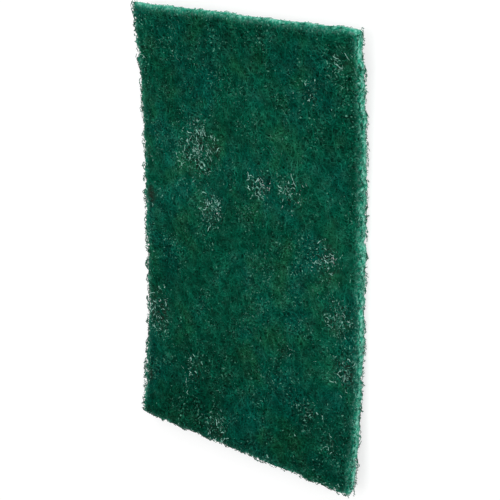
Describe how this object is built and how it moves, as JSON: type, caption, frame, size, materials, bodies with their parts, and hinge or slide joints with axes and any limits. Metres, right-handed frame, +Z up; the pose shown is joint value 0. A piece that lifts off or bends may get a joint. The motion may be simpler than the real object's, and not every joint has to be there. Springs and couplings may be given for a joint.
{
  "type": "nylon scouring pad",
  "caption": "Rectangular nonwoven nylon scouring pad: springy web of crimped grit-coated fibres, die-cut edges, lean see-through spots, ends curling up a little.",
  "frame": {"origin": "centre of the pad's outline, on the surface that the pad lies on", "axes": "+X across the pad to the picture's right, +Y along the pad to the picture's top, +Z up through its thickness, out of the pictured face"},
  "size_m": [0.1524, 0.2286, 0.0123],
  "materials": {
    "coated_web": "matte resin-and-grit coated nylon fibre web, darker on the faces and brighter green in the cut edges"
  },
  "bodies": {
    "root": {"scouring_pad": "coated_web"}
  },
  "joints": []
}
